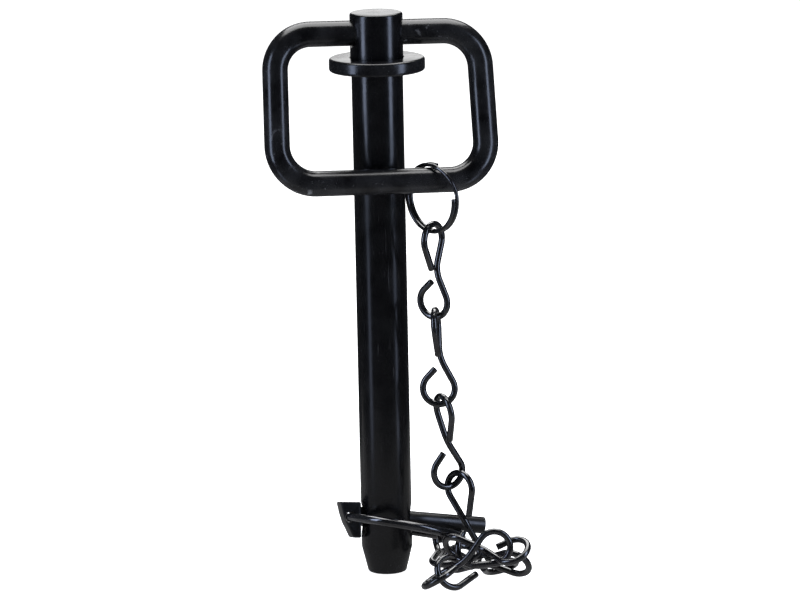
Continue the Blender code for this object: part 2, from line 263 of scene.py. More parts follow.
# Jack chain wire, black plated after forming: a little rougher and dustier
CHAIN_PLATING = BlackFinish("black_plated_chain_wire", "#050506", "#4c4e52", roughness=0.17, spread=0.05,
                            peel_mm=0.8, peel_depth_mm=0.006, grain_mm=0.25, grain_depth_mm=0.0016,
                            dust=0.02, coat=1.0)


# -------------------- modelling helpers


def object_from(bm: bmesh.types.BMesh, name: str) -> bpy.types.Object:
    """Put a bmesh into the scene as an object.

    Args:
        bm: The bmesh, which is freed.
        name: The object's name.

    Returns:
        The object.
    """
    mesh = bpy.data.meshes.new(name)
    bm.to_mesh(mesh)
    bm.free()
    made = bpy.data.objects.new(name, mesh)
    bpy.context.scene.collection.objects.link(made)
    return made


def piece_from(bm: bmesh.types.BMesh, name: str, finish: BlackFinish,
               sharp_deg: float = SHARP_EDGE) -> bpy.types.Object:
    """Turn a finished bmesh into a smooth-shaded, dressed piece.

    Args:
        bm: The bmesh, which is freed.
        name: The piece's name.
        finish: Its finish.
        sharp_deg: The angle past which an edge is drawn sharp.

    Returns:
        The piece.
    """
    bmesh.ops.remove_doubles(bm, verts=bm.verts, dist=MERGE_DISTANCE)
    bmesh.ops.recalc_face_normals(bm, faces=bm.faces)
    piece = object_from(bm, name)
    piece.data.shade_smooth()
    piece.data.set_sharp_from_angle(angle=math.radians(sharp_deg))
    piece.data.materials.append(bpy.data.materials.get(finish.name) or finish.material())
    return piece


def stand_for(piece: bpy.types.Object, node: str, body: str) -> None:
    """Let a piece stand for a CAD node and ride on its body.

    Args:
        piece: The finished piece.
        node: The CAD node that it replaces.
        body: The moving body that carries it.
    """
    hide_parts(node)
    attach(piece, body)
    log.info("%s stands for %s on %s", piece.name, node, body)


def turned(profile: FlatPoints, steps: int, closed: bool = False) -> bmesh.types.BMesh:
    """Turn a profile about Z.

    Args:
        profile: (radius, height) points.
        steps: Segments round the turn.
        closed: Whether the profile joins its own start.

    Returns:
        The turned bmesh.
    """
    bm = bmesh.new()
    verts = [bm.verts.new((radius, 0.0, height)) for radius, height in profile]
    pairs = list(zip(verts, verts[1:])) + ([(verts[-1], verts[0])] if closed else [])
    edges = [bm.edges.new(pair) for pair in pairs]
    bmesh.ops.spin(bm, geom=verts + edges, cent=(0, 0, 0), axis=(0, 0, 1), dvec=(0, 0, 0),
                   angle=math.tau, steps=steps, use_merge=True, use_duplicate=False)
    bmesh.ops.remove_doubles(bm, verts=bm.verts, dist=MERGE_DISTANCE)
    bmesh.ops.recalc_face_normals(bm, faces=bm.faces)
    return bm


def plug(radius: float, reach: float) -> FlatPoints:
    """Give the profile of a plain round cutter that reaches as far both ways."""
    return [(0.0, -reach), (radius, -reach), (radius, reach), (0.0, reach)]


def arc(centre: tuple[float, float], radius: float, start: float, end: float, steps: int) -> FlatPoints:
    """Give the points of an arc in a plane.

    Args:
        centre: The arc's centre.
        radius: Its radius.
        start: The angle it starts at, in degrees.
        end: The angle it ends at, in degrees.
        steps: How many chords it has.

    Returns:
        One point more than there are chords.
    """
    angles = [math.radians(start + (end - start) * i / steps) for i in range(steps + 1)]
    return [(centre[0] + radius * math.cos(a), centre[1] + radius * math.sin(a)) for a in angles]


def frames_along(path: CentreLine, closed: bool) -> list[tuple[Vector, Vector]]:
    """Give a wire's direction and a steady crosswise direction at each point of its path.

    Args:
        path: The wire's centre line.
        closed: Whether the path is a loop, whose last twist is then shared out along it.

    Returns:
        A (direction, crosswise) pair of unit vectors for each point.
    """
    count = len(path)
    before = [path[(i - 1) % count] if closed or i else path[0] for i in range(count)]
    after = [path[(i + 1) % count] if closed or i < count - 1 else path[-1] for i in range(count)]
    tangents = [(b - a).normalized() for a, b in zip(before, after)]
    normal = tangents[0].orthogonal().normalized()
    normals = []
    for tangent in tangents:
        normal = (normal - tangent * normal.dot(tangent)).normalized()
        normals.append(normal.copy())
    if not closed:
        return list(zip(tangents, normals))
    last = (normals[-1] - tangents[0] * normals[-1].dot(tangents[0])).normalized()
    twist = math.atan2(last.cross(normals[0]).dot(tangents[0]), last.dot(normals[0]))
    return [(tangent, Matrix.Rotation(twist * i / count, 3, tangent) @ normal)
            for i, (tangent, normal) in enumerate(zip(tangents, normals))]


def next_ring(bm: bmesh.types.BMesh, ring: list[bmesh.types.BMVert]) -> list[bmesh.types.BMVert]:
    """Extrude a ring of points once.

    Args:
        bm: The bmesh that holds the ring.
        ring: The ring's points, in order.

    Returns:
        The new ring's points, in the same order.
    """
    edges = {edge for vert in ring for edge in vert.link_edges if edge.other_vert(vert) in ring}
    made = bmesh.ops.extrude_edge_only(bm, edges=list(edges))["geom"]
    rank = {vert: i for i, vert in enumerate(ring)}
    fresh = [item for item in made if isinstance(item, bmesh.types.BMVert)]
    return sorted(fresh, key=lambda vert: next(rank[edge.other_vert(vert)] for edge in vert.link_edges
                                               if edge.other_vert(vert) in rank))


def swept(path: CentreLine, radius: float, sides: int, closed: bool = False,
          edge: float = 0.0) -> bmesh.types.BMesh:
    """Sweep a round section along a path with no twist.

    Args:
        path: The wire's centre line.
        radius: The wire's radius.
        sides: Sides of the section.
        closed: Whether the path is a loop.
        edge: Size of the bevel round each cut end, which a loop doesn't have.

    Returns:
        The swept bmesh.
    """
    bm = bmesh.new()
    rings = [bmesh.ops.create_circle(bm, segments=sides, radius=radius)["verts"]]
    while len(rings) < len(path):
        rings.append(next_ring(bm, rings[-1]))
    for point, (along, across), ring in zip(path, frames_along(path, closed), rings):
        side = along.cross(across)
        for k, vert in enumerate(ring):
            a = math.tau * k / sides
            vert.co = point + radius * (math.cos(a) * across + math.sin(a) * side)
    if closed:
        rims = [rim for ring in (set(rings[0]), set(rings[-1])) for rim in bm.edges
                if rim.verts[0] in ring and rim.verts[1] in ring]
        bmesh.ops.bridge_loops(bm, edges=rims)
        return bm
    caps = [bmesh.ops.contextual_create(bm, geom=ring)["faces"][0] for ring in (rings[0], rings[-1])]
    bmesh.ops.bevel(bm, geom=[rim for cap in caps for rim in cap.edges], offset=edge, segments=RIM_SEGMENTS,
                    profile=0.5, affect="EDGES", material=-1)
    return bm


def laid(bm: bmesh.types.BMesh, axis: str, place: Vector) -> bmesh.types.BMesh:
    """Turn a bmesh by a quarter about a world axis and move it.

    Args:
        bm: The bmesh, turned about Z.
        axis: "X" or "Y".
        place: Where its origin goes.

    Returns:
        The same bmesh.
    """
    turn = Matrix.Translation(place) @ Matrix.Rotation(math.radians(90.0), 4, axis)
    bmesh.ops.transform(bm, matrix=turn, verts=bm.verts)
    return bm


class Change(Enum):
    """How a helper shape changes a piece, in the Boolean modifier's own words."""

    CUT = "DIFFERENCE"
    ADD = "UNION"


def combine(piece: bpy.types.Object, shapes: list[tuple[Change, bmesh.types.BMesh]], edge: float,
            sharp_deg: float = SHARP_EDGE) -> None:
    """Add helper shapes to a piece or cut them from it, and soften the new rims.

    Args:
        piece: The piece to change.
        shapes: Each change and its helper shape, which is freed.
        edge: Width of a softened rim.
        sharp_deg: The angle past which an edge is drawn sharp.
    """
    helpers = []
    for change, bm in shapes:
        helper = object_from(bm, f"{piece.name}_helper_{len(helpers)}")
        modifier = piece.modifiers.new(helper.name, "BOOLEAN")
        modifier.operation, modifier.solver, modifier.object = change.value, "EXACT", helper
        helpers.append(helper)
    rim = piece.modifiers.new("rims", "BEVEL")
    rim.width, rim.segments, rim.limit_method = edge, RIM_SEGMENTS, "ANGLE"
    rim.angle_limit = math.radians(RIM_ANGLE)
    rim.use_clamp_overlap = True
    graph = bpy.context.evaluated_depsgraph_get()
    finished = bpy.data.meshes.new_from_object(piece.evaluated_get(graph))
    piece.modifiers.clear()
    piece.data = finished
    finished.shade_smooth()
    finished.set_sharp_from_angle(angle=math.radians(sharp_deg))
    for helper in helpers:
        bpy.data.objects.remove(helper)


# -------------------- the pin


@dataclass
class PinBar:
    """The headed bar, its stop collar, and its two cross holes.

    Attributes:
        radius: Radius of the shank.
        head_radius: Radius of the head, above the middle of the collar.
        tip_radius: Radius of the tip.
        tip_edge: Rounding of the tip.
        tip_turn: Angle at which the rounding meets the taper, in degrees.
        taper: Height of the taper's end, where it meets the shank.
        taper_blend: How far that meeting is eased inwards, downwards and upwards.
        underside: Height of the collar's underside.
        collar_radius: Radius of the collar.
        collar_thickness: Thickness of the collar.
        collar_edge: Rounding of the collar's rims.
        head_height: Height of the head above the collar.
        head_edge: Rounding of the head's rim.
        handle_hole_height: Height of the handle's hole.
        handle_hole_radius: Radius of the handle's hole.
        linch_hole_height: Height of the linch pin's hole.
        linch_hole_radius: Radius of the linch pin's hole.
        countersink_radius: Radius of that hole's mouths.
        countersink_depth: Depth of its mouths.
        hole_edge: Softening of the holes' rims.
        gap: Clearance between the bar and the collar.
        steps: Segments round the bar and the collar.
        hole_steps: Segments round a hole.
        edge_steps: Chords of a rounded rim.
    """

    radius: float = 9.525 * MM
    head_radius: float = 9.8 * MM
    tip_radius: float = 7.35 * MM
    tip_edge: float = 0.9 * MM
    tip_turn: float = -15.0
    taper: float = 10.0 * MM
    taper_blend: tuple[float, float, float] = (0.05 * MM, 0.6 * MM, 0.4 * MM)
    underside: float = 190.1 * MM
    collar_radius: float = 17.75 * MM
    collar_thickness: float = 5.0 * MM
    collar_edge: float = 1.1 * MM
    head_height: float = 16.7 * MM
    head_edge: float = 1.0 * MM
    handle_hole_height: float = 204.2 * MM
    handle_hole_radius: float = 5.25 * MM
    linch_hole_height: float = 20.4 * MM
    linch_hole_radius: float = 5.15 * MM
    countersink_radius: float = 7.0 * MM
    countersink_depth: float = 1.5 * MM
    hole_edge: float = 0.35 * MM
    gap: float = 0.3 * MM
    steps: int = 160
    hole_steps: int = 64
    edge_steps: int = 8

    def bar_profile(self) -> FlatPoints:
        """Give the bar's outline.

        Returns:
            (radius, height) points, from the middle of its tip to the middle of its head.
        """
        top = self.underside + self.collar_thickness + self.head_height
        shoulder = self.underside + self.collar_thickness / 2
        inwards, downwards, upwards = self.taper_blend
        profile = [(0.0, 0.0), (self.tip_radius * END_RING, 0.0)]
        profile += arc((self.tip_radius - self.tip_edge, self.tip_edge), self.tip_edge, -90, self.tip_turn,
                       self.edge_steps)
        profile += [(self.radius - inwards, self.taper - downwards), (self.radius, self.taper + upwards)]
        profile += [(self.radius, shoulder), (self.head_radius, shoulder + self.gap)]
        profile += arc((self.head_radius - self.head_edge, top - self.head_edge), self.head_edge, 0, 90,
                       self.edge_steps)
        return profile + [(self.head_radius * END_RING, top), (0.0, top)]

    def bore(self, profile: FlatPoints, height: float) -> bmesh.types.BMesh:
        """Lay a turned cutter along X.

        Args:
            profile: The cutter's (radius, distance from the middle) points.
            height: Height of the hole it cuts.

        Returns:
            The cutter.
        """
        return laid(turned(profile, self.hole_steps), "Y", Vector((0.0, 0.0, height)))

    def build_bar(self) -> bpy.types.Object:
        """Build the bar and cut its holes.

        Returns:
            The finished bar.
        """
        bar = piece_from(turned(self.bar_profile(), self.steps), "hitch_pin_bar", BAR_COAT)
        reach = 2 * self.radius
        plain = self.bore(plug(self.handle_hole_radius, reach), self.handle_hole_height)
        throat, mouth = self.linch_hole_radius, self.radius - self.countersink_depth
        flare = (self.countersink_radius - throat) / self.countersink_depth
        wide = throat + flare * (reach - mouth)
        sunk = self.bore([(0.0, -reach), (wide, -reach), (throat, -mouth), (throat, mouth), (wide, reach),
                          (0.0, reach)], self.linch_hole_height)
        combine(bar, [(Change.CUT, plain), (Change.CUT, sunk)], self.hole_edge)
        return bar

    def build_collar(self) -> bpy.types.Object:
        """Build the stop collar.

        Returns:
            The finished collar.
        """
        inner, outer, edge = self.radius + self.gap, self.collar_radius, self.collar_edge
        low, high = self.underside, self.underside + self.collar_thickness
        step, wider = low + self.collar_thickness / 2, self.head_radius + self.gap
        profile = [(inner, low)] + arc((outer - edge, low + edge), edge, -90, 0, self.edge_steps)
        profile += arc((outer - edge, high - edge), edge, 0, 90, self.edge_steps)
        profile += [(wider, high), (wider, step), (inner, step - self.gap)]
        return piece_from(turned(profile, self.steps, closed=True), "stop_collar", FLANGE_COAT)

    def build(self) -> None:
        """Build both pieces and let them stand for their CAD nodes."""
        stand_for(self.build_bar(), "pin_bar", "pin_body")
        stand_for(self.build_collar(), "collar", "pin_body")


@dataclass
class BarHandle:
    """The closed bar handle that turns in the head.

    Attributes:
        bar_radius: Radius of its bar.
        height: Distance between the middles of its upper and lower bars.
        top_half: Half its width along the upper bar, to the corner points.
        bottom_half: Half its width along the lower bar, to the corner points.
        top_corner: Bend radius of its upper corners.
        bottom_corner: Bend radius of its lower corners.
        tilt: Its turn in its own plane, in degrees.
        axis_height: Height of the upper bar, which it turns about.
        rest_reach: How far the lower bar is from the pin's axis at rest.
        corner_steps: Chords of a corner.
        sides: Sides of the bar's section.
    """

    bar_radius: float = 4.74 * MM
    height: float = 55.2 * MM
    top_half: float = 38.2 * MM
    bottom_half: float = 39.3 * MM
    top_corner: float = 13.6 * MM
    bottom_corner: float = 14.1 * MM
    tilt: float = 1.28
    axis_height: float = 204.2 * MM
    rest_reach: float = 14.5875 * MM
    corner_steps: int = 20
    sides: int = 40

    def place(self, across: float, up: float) -> Vector:
        """Give the world point of a point of the handle's own plane.

        Args:
            across: Distance along the upper bar from its middle.
            up: Height above the upper bar, so most are below 0.

        Returns:
            The point with the handle at rest.
        """
        lean = math.asin(self.rest_reach / self.height)
        across, up = Matrix.Rotation(-math.radians(self.tilt), 2) @ Vector((across, up))
        return Vector((across, up * math.sin(lean), self.axis_height + up * math.cos(lean)))

    def outline(self) -> CentreLine:
        """Give the bar's centre line.

        Returns:
            The points of its four rounded corners, as a loop.
        """
        corners = [(-self.top_half, 0.0, self.top_corner), (self.top_half, 0.0, self.top_corner),
                   (self.bottom_half, -self.height, self.bottom_corner),
                   (-self.bottom_half, -self.height, self.bottom_corner)]
        points: CentreLine = []
        for i, (x, z, radius) in enumerate(corners):
            corner = Vector((x, z))
            before = (Vector(corners[i - 1][:2]) - corner).normalized()
            after = (Vector(corners[(i + 1) % len(corners)][:2]) - corner).normalized()
            half = before.angle(after) / 2
            centre = corner + (before + after).normalized() * radius / math.sin(half)
            start = corner + before * radius / math.tan(half) - centre
            end = corner + after * radius / math.tan(half) - centre
            sweep = start.angle_signed(end)
            for k in range(self.corner_steps + 1):
                flat = centre + Matrix.Rotation(-sweep * k / self.corner_steps, 2) @ start
                points.append(self.place(flat.x, flat.y))
        return points

    def build(self) -> None:
        """Build the handle and let it stand for its CAD node."""
        piece = piece_from(swept(self.outline(), self.bar_radius, self.sides, closed=True),
                           "bar_handle", HANDLE_COAT)
        stand_for(piece, "handle", "handle")


# -------------------- the chain


@dataclass
class SplitRing:
    """The two-turn split ring on the handle's lower bar.

    Attributes:
        handle: The handle it hangs on.
        wire_radius: Radius of its wire.
        radius: Radius of the wire's centre line.
        offset: How far each turn is from the middle.
        turn_deg: Its turn about Z.
        start_deg: Where its first end is, round the ring.
        jog: Where along the wire it crosses over, in degrees from that end.
        wire_deg: How far the wire goes round.
        x: Where it hangs along the lower bar.
        gap: Clearance over the bar.
        cad_bar_radius: Radius of the CAD's handle bar, where the ring hangs.
        cad_wire_radius: Radius of the CAD's wire, which hangs there.
        step_deg: How far round each step of the wire goes.
        sides: Sides of the wire's section.
        cut_edge: Softening of the wire's cut ends.
    """

    handle: BarHandle
    wire_radius: float = 0.76 * MM
    radius: float = 12.5 * MM
    offset: float = 0.9 * MM
    turn_deg: float = 121.0
    start_deg: float = 80.0
    jog: tuple[float, float] = (295.0, 350.0)
    wire_deg: float = 645.0
    x: float = 18.0 * MM
    gap: float = 0.3 * MM
    cad_bar_radius: float = 4.7625 * MM
    cad_wire_radius: float = 0.8 * MM
    step_deg: float = 3.0
    sides: int = 16
    cut_edge: float = 0.12 * MM

    def centre(self) -> Vector:
        """Give the middle of the ring."""
        bar = self.handle.place(self.x, -self.handle.height)
        return bar + Vector((0, 0, self.cad_bar_radius + self.gap - self.radius + self.cad_wire_radius))

    def path(self) -> CentreLine:
        """Give the wire's centre line.

        Returns:
            Two turns side by side, with a jog between them.
        """
        turn = math.radians(self.turn_deg)
        across = Vector((-math.cos(turn), -math.sin(turn), 0.0))
        normal = Vector((math.sin(turn), -math.cos(turn), 0.0))
        middle = self.centre()
        points: CentreLine = []
        for i in range(int(self.wire_deg / self.step_deg) + 1):
            angle = i * self.step_deg
            share = min(max((angle - self.jog[0]) / (self.jog[1] - self.jog[0]), 0.0), 1.0)
            shift = self.offset * (1.0 - 2.0 * share)
            a = math.radians(self.start_deg + angle)
            spoke = math.cos(a) * across + Vector((0, 0, math.sin(a)))
            points.append(middle + self.radius * spoke + shift * normal)
        return points

    def build(self) -> None:
        """Build the ring and let it stand for its CAD node."""
        bm = swept(self.path(), self.wire_radius, self.sides, edge=self.cut_edge)
        stand_for(piece_from(bm, "split_ring_wire", SPRING_PLATING), "split_ring", "split_ring")


@dataclass
class ChainLink:
    """One link of jack chain: a wire bent to two open hooks at right angles.

    Attributes:
        number: The link's number from the split ring.
        waist_mm: Where its middle is.
        heading: Direction that its upper end leans to, in degrees from +X towards +Y.
        lean: Its lean from upright, in degrees.
        turn: Its turn about its own length, in degrees.
        wire_radius: Radius of its wire.
        loop_radius: Radius of a hook's centre line.
        loop_centre: Distance from its middle to a hook's centre, along it.
        loop_shift: Distance from its length to a hook's centre, across it.
        upper_end: Where the upper hook's wire ends, as (across, along).
        lower_end: Where the lower hook's wire ends, as (across, along).
        end_shares: Places of the points along a hook's straight end.
        neck_shares: Places of the points from a hook's loop towards the waist.
        arc_steps: Chords of a hook's loop.
        waist_steps: Chords of the waist's bend.
        sides: Sides of the wire's section.
        cut_edge: Softening of the wire's cut ends.
    """

    number: int
    waist_mm: tuple[float, float, float]
    heading: float
    lean: float
    turn: float
    wire_radius: float = 1.24 * MM
    loop_radius: float = 5.94 * MM
    loop_centre: float = 11.75 * MM
    loop_shift: float = 1.2 * MM
    upper_end: tuple[float, float] = (-2.6 * MM, 0.8 * MM)
    lower_end: tuple[float, float] = (-1.9 * MM, 4.3 * MM)
    end_shares: tuple[float, ...] = (0.0, 0.25, 0.5, 0.75)
    neck_shares: tuple[float, ...] = (0.8, 0.6, 0.4)
    arc_steps: int = 44
    waist_steps: int = 14
    sides: int = 20
    cut_edge: float = 0.22 * MM

    def touch(self, point: Vector, centre: Vector, side: int) -> Vector:
        """Give where a line from a point touches a hook's loop.

        Args:
            point: The point, outside the loop.
            centre: The loop's centre.
            side: Which of the two tangents it is, +1 or -1.

        Returns:
            The point of the loop.
        """
        reach = centre - point
        half = math.asin(self.loop_radius / reach.length) * side
        along = reach.length * math.cos(half)
        turn = math.atan2(reach.y, reach.x) + half
        return point + along * Vector((math.cos(turn), math.sin(turn)))

    def hook(self, cut: tuple[float, float]) -> FlatPoints:
        """Give one hook in its own plane.

        Args:
            cut: Where its wire ends, as (across, along).

        Returns:
            (across, along) points, from its cut end towards the waist.
        """
        centre, cut_end = Vector((-self.loop_shift, self.loop_centre)), Vector(cut)
        first = self.touch(cut_end, centre, 1)
        last = self.touch(Vector((0.0, 0.0)), centre, -1)
        start = math.degrees(math.atan2(first.y - centre.y, first.x - centre.x)) % 360.0
        end = math.degrees(math.atan2(last.y - centre.y, last.x - centre.x))
        points = [tuple(cut_end.lerp(first, share)) for share in self.end_shares]
        points += arc(tuple(centre), self.loop_radius, start, end, self.arc_steps)
        return points + [tuple(last * share) for share in self.neck_shares]

    def path(self) -> CentreLine:
        """Give the wire's centre line.

        Returns:
            The points where the link lies, from its upper cut end to its lower one.
        """
        upper = [Vector((across, 0.0, along)) for across, along in self.hook(self.upper_end)]
        lower = [Vector((0.0, -across, -along)) for across, along in self.hook(self.lower_end)]
        start, end = upper[-1], lower[-1]
        shares = [k / self.waist_steps for k in range(1, self.waist_steps)]
        waist = [(1 - t) ** 2 * start + t**2 * end for t in shares]
        place = (Matrix.Translation(Vector(self.waist_mm) * MM)
                 @ Matrix.Rotation(math.radians(self.heading), 4, "Z")
                 @ Matrix.Rotation(math.radians(self.lean), 4, "Y")
                 @ Matrix.Rotation(math.radians(self.turn), 4, "Z"))
        return [place @ point for point in upper + waist + lower[::-1]]

    def build(self) -> None:
        """Build the link and let it stand for its CAD node."""
        bm = swept(self.path(), self.wire_radius, self.sides, edge=self.cut_edge)
        piece = piece_from(bm, f"jack_link_{self.number}", CHAIN_PLATING)
        stand_for(piece, f"chain_link_{self.number}", f"link_{self.number}")


LINKS = (
    ChainLink(1, (17.8, -13.7, 116.4), 147.0, 0.5, -102.0),
    ChainLink(2, (18.5, -14.1, 83.8), 115.0, 6.5, -43.5),
    ChainLink(3, (20.6, -14.7, 51.8), -158.5, 8.0, -96.0),
    ChainLink(4, (26.0, -17.9, 22.0), 123.0, 16.0, 4.5),
    ChainLink(5, (30.5, -32.6, 13.8), 133.5, 91.0, 147.5),
    ChainLink(6, (22.4, -35.8, 10.8), -5.5, 60.5, 171.5),
    ChainLink(7, (28.0, -28.9, 6.3), -157.5, 84.5, -148.0),
    ChainLink(8, (33.9, -19.0, 5.1), -38.0, 89.0, 35.5),
    ChainLink(9, (22.4, 2.0, 5.7), -90.0, 92.5, 96.0),
)


# -------------------- the linch pin


@dataclass
class LinchPin:
    """The linch pin's forging and its snap ring.

    Attributes:
        rod_radius: Radius of the rod.
        rod_length: Length of the rod from the head's shoulder.
        rod_root: How deep the rod goes into the head.
        rod_edge: Softening of its sheared end.
        rod_round: How far that softening's middle is from the corner.
        shoulder: Where the rod meets the head.
        droop: Tilt of the rod, in degrees.
        roll: Turn of the pin about its rod, in degrees.
        outline_mm: The head's side view from the shoulder, as (along, up).
        head_thickness: Thickness of the head.
        head_edge: Rounding of its rims.
        head_edge_steps: Faces of that rounding.
        head_rim: Angle past which an edge of the head is a rim, in degrees.
        sharp_deg: The angle past which an edge is drawn sharp.
        hinge: Where the ring turns, from the shoulder.
        hinge_hole: Radius of the ring's hole.
        seam: Softening where the rod and the hole meet the head.
        snap_wire: Radius of the ring's wire.
        snap_radius: Radius of the ring's centre line.
        snap_drop: Tilt of the ring about its hinge, in degrees.
        snap_end: Distance of its wire's ends from the head's middle.
        snap_share: Where a point of its straight end is, as a share of half the head.
        snap_bend: How far outside the head the circle starts.
        snap_steps: Chords of the circle.
        snap_sides: Sides of the ring's section.
        snap_cut: Softening of its cut ends.
        rod_steps: Segments round the rod.
        hinge_steps: Segments round the ring's hole.
    """

    rod_radius: float = 3.175 * MM
    rod_length: float = 48.9 * MM
    rod_root: float = 2.0 * MM
    rod_edge: float = 0.4 * MM
    rod_round: float = 0.12 * MM
    shoulder: tuple[float, float, float] = (-10.9 * MM, 0.0, 22.0 * MM)
    droop: float = 8.66
    roll: float = 14.0
    outline_mm: tuple[tuple[float, float], ...] = (
        (0.0, 4.9), (-7.9, 4.4), (-6.6, 0.3), (-5.2, -3.1), (-3.8, -5.3), (-2.0, -8.5), (1.2, -8.6))
    head_thickness: float = 8.4 * MM
    head_edge: float = 0.7 * MM
    head_edge_steps: int = 5
    head_rim: float = 30.0
    sharp_deg: float = 40.0
    hinge: tuple[float, float, float] = (-3.5 * MM, 0.0, -1.2 * MM)
    hinge_hole: float = 2.1 * MM
    seam: float = 0.25 * MM
    snap_wire: float = 1.6 * MM
    snap_radius: float = 21.8 * MM
    snap_drop: float = 5.3
    snap_end: float = 0.8 * MM
    snap_share: float = 0.6
    snap_bend: float = 1.4 * MM
    snap_steps: int = 120
    snap_sides: int = 24
    snap_cut: float = 0.2 * MM
    rod_steps: int = 64
    hinge_steps: int = 32

    def place(self) -> Matrix:
        """Give the forging's place.

        Returns:
            A matrix from its own frame, X along its rod and Y along the ring's hinge.
        """
        turn = (Matrix.Rotation(math.radians(self.droop), 4, "Y")
                @ Matrix.Rotation(-math.radians(self.roll), 4, "X"))
        return Matrix.Translation(self.shoulder) @ turn

    def build_head(self) -> bpy.types.Object:
        """Build the flat head, at the origin.

        Returns:
            The head with rounded rims, and no rod or hole.
        """
        half = self.head_thickness / 2
        bm = bmesh.new()
        face = bm.faces.new([bm.verts.new((x * MM, -half, z * MM)) for x, z in self.outline_mm])
        made = bmesh.ops.extrude_face_region(bm, geom=[face])["geom"]
        bmesh.ops.translate(bm, verts=[item for item in made if isinstance(item, bmesh.types.BMVert)],
                            vec=(0.0, 2 * half, 0.0))
        rims = [edge for edge in bm.edges if edge.calc_face_angle(0.0) > math.radians(self.head_rim)]
        bmesh.ops.bevel(bm, geom=rims, offset=self.head_edge, segments=self.head_edge_steps,
                        profile=0.5, affect="EDGES", material=-1, clamp_overlap=True)
        return piece_from(bm, "linch_pin_forging", FORGING_COAT, self.sharp_deg)

    def build_forging(self) -> bpy.types.Object:
        """Build the flat head, and give it its rod with a sheared end and its hinge hole.

        Returns:
            The finished forging in its place.
        """
        head = self.build_head()
        radius, length = self.rod_radius, self.rod_length
        profile = [(0.0, -self.rod_root), (radius, -self.rod_root), (radius, length - self.rod_edge),
                   (radius - self.rod_round, length - self.rod_round), (radius - self.rod_edge, length),
                   (0.0, length)]
        rod = laid(turned(profile, self.rod_steps), "Y", Vector((0.0, 0.0, 0.0)))
        bore = turned(plug(self.hinge_hole, self.head_thickness), self.hinge_steps)
        hole = laid(bore, "X", Vector(self.hinge))
        combine(head, [(Change.ADD, rod), (Change.CUT, hole)], self.seam, self.sharp_deg)
        head.data.transform(self.place())
        return head

    def snap_path(self) -> CentreLine:
        """Give the snap ring's centre line.

        Returns:
            The points of an open circle with its ends in the head.
        """
        place = (self.place() @ Matrix.Translation(self.hinge)
                 @ Matrix.Rotation(math.radians(self.snap_drop), 4, "Y"))
        side = self.head_thickness / 2
        first = math.asin((side + self.snap_bend) / self.snap_radius)
        stub = [self.snap_end, side * self.snap_share, side]
        points = [Vector((0.0, y, 0.0)) for y in stub]
        for i in range(self.snap_steps + 1):
            a = first + (math.tau - 2 * first) * i / self.snap_steps
            points.append(Vector((self.snap_radius * (1 - math.cos(a)), self.snap_radius * math.sin(a), 0.0)))
        points += [Vector((0.0, -y, 0.0)) for y in reversed(stub)]
        return [place @ point for point in points]

    def build(self) -> None:
        """Build both pieces and let them stand for their CAD nodes."""
        stand_for(self.build_forging(), "linch_pin", "linch_pin")
        ring = piece_from(swept(self.snap_path(), self.snap_wire, self.snap_sides, edge=self.snap_cut),
                          "snap_ring_wire", SPRING_PLATING)
        stand_for(ring, "linch_ring", "linch_ring")


# -------------------- studio


# The cool daylight of the strips beside the object
DAYLIGHT = "#cfdeff"


def towards(azimuth: float, elevation: float) -> Vector:
    """Give a direction from the object.

    Args:
        azimuth: Degrees anticlockwise from straight in front, seen from above.
        elevation: Degrees above the horizon.

    Returns:
        The unit vector.
    """
    a, e = math.radians(azimuth), math.radians(elevation)
    return Vector((math.sin(a) * math.cos(e), -math.cos(a) * math.cos(e), math.sin(e)))


@dataclass(frozen=True)
class Softbox:
    """A rectangular soft light.

    Attributes:
        name: The light's name.
        azimuth: Its direction from the object, as in towards.
        elevation: Its height above the horizon, in degrees.
        distance: Distance from what it is aimed at.
        size: Width and height.
        radiance: How bright its face is.
        aim: The point it faces.
        tint: Its colour.
    """

    name: str
    azimuth: float
    elevation: float
    distance: float
    size: tuple[float, float]
    radiance: float
    aim: tuple[float, float, float] = (0.0, 0.0, 0.1)
    tint: str = "#ffffff"

    def build(self) -> None:
        """Hang the light where it belongs."""
        back = towards(self.azimuth, self.elevation)
        data = bpy.data.lights.new(self.name, "AREA")
        data.shape, data.size, data.size_y = "RECTANGLE", self.size[0], self.size[1]
        data.energy = self.radiance * math.pi * self.size[0] * self.size[1]
        data.color = linear(self.tint)[:3]
        lamp = bpy.data.objects.new(self.name, data)
        lamp.location = Vector(self.aim) + back * self.distance
        lamp.rotation_euler = (-back).to_track_quat("-Z", "Y").to_euler()
        lamp.visible_camera = False
        bpy.context.scene.collection.objects.link(lamp)


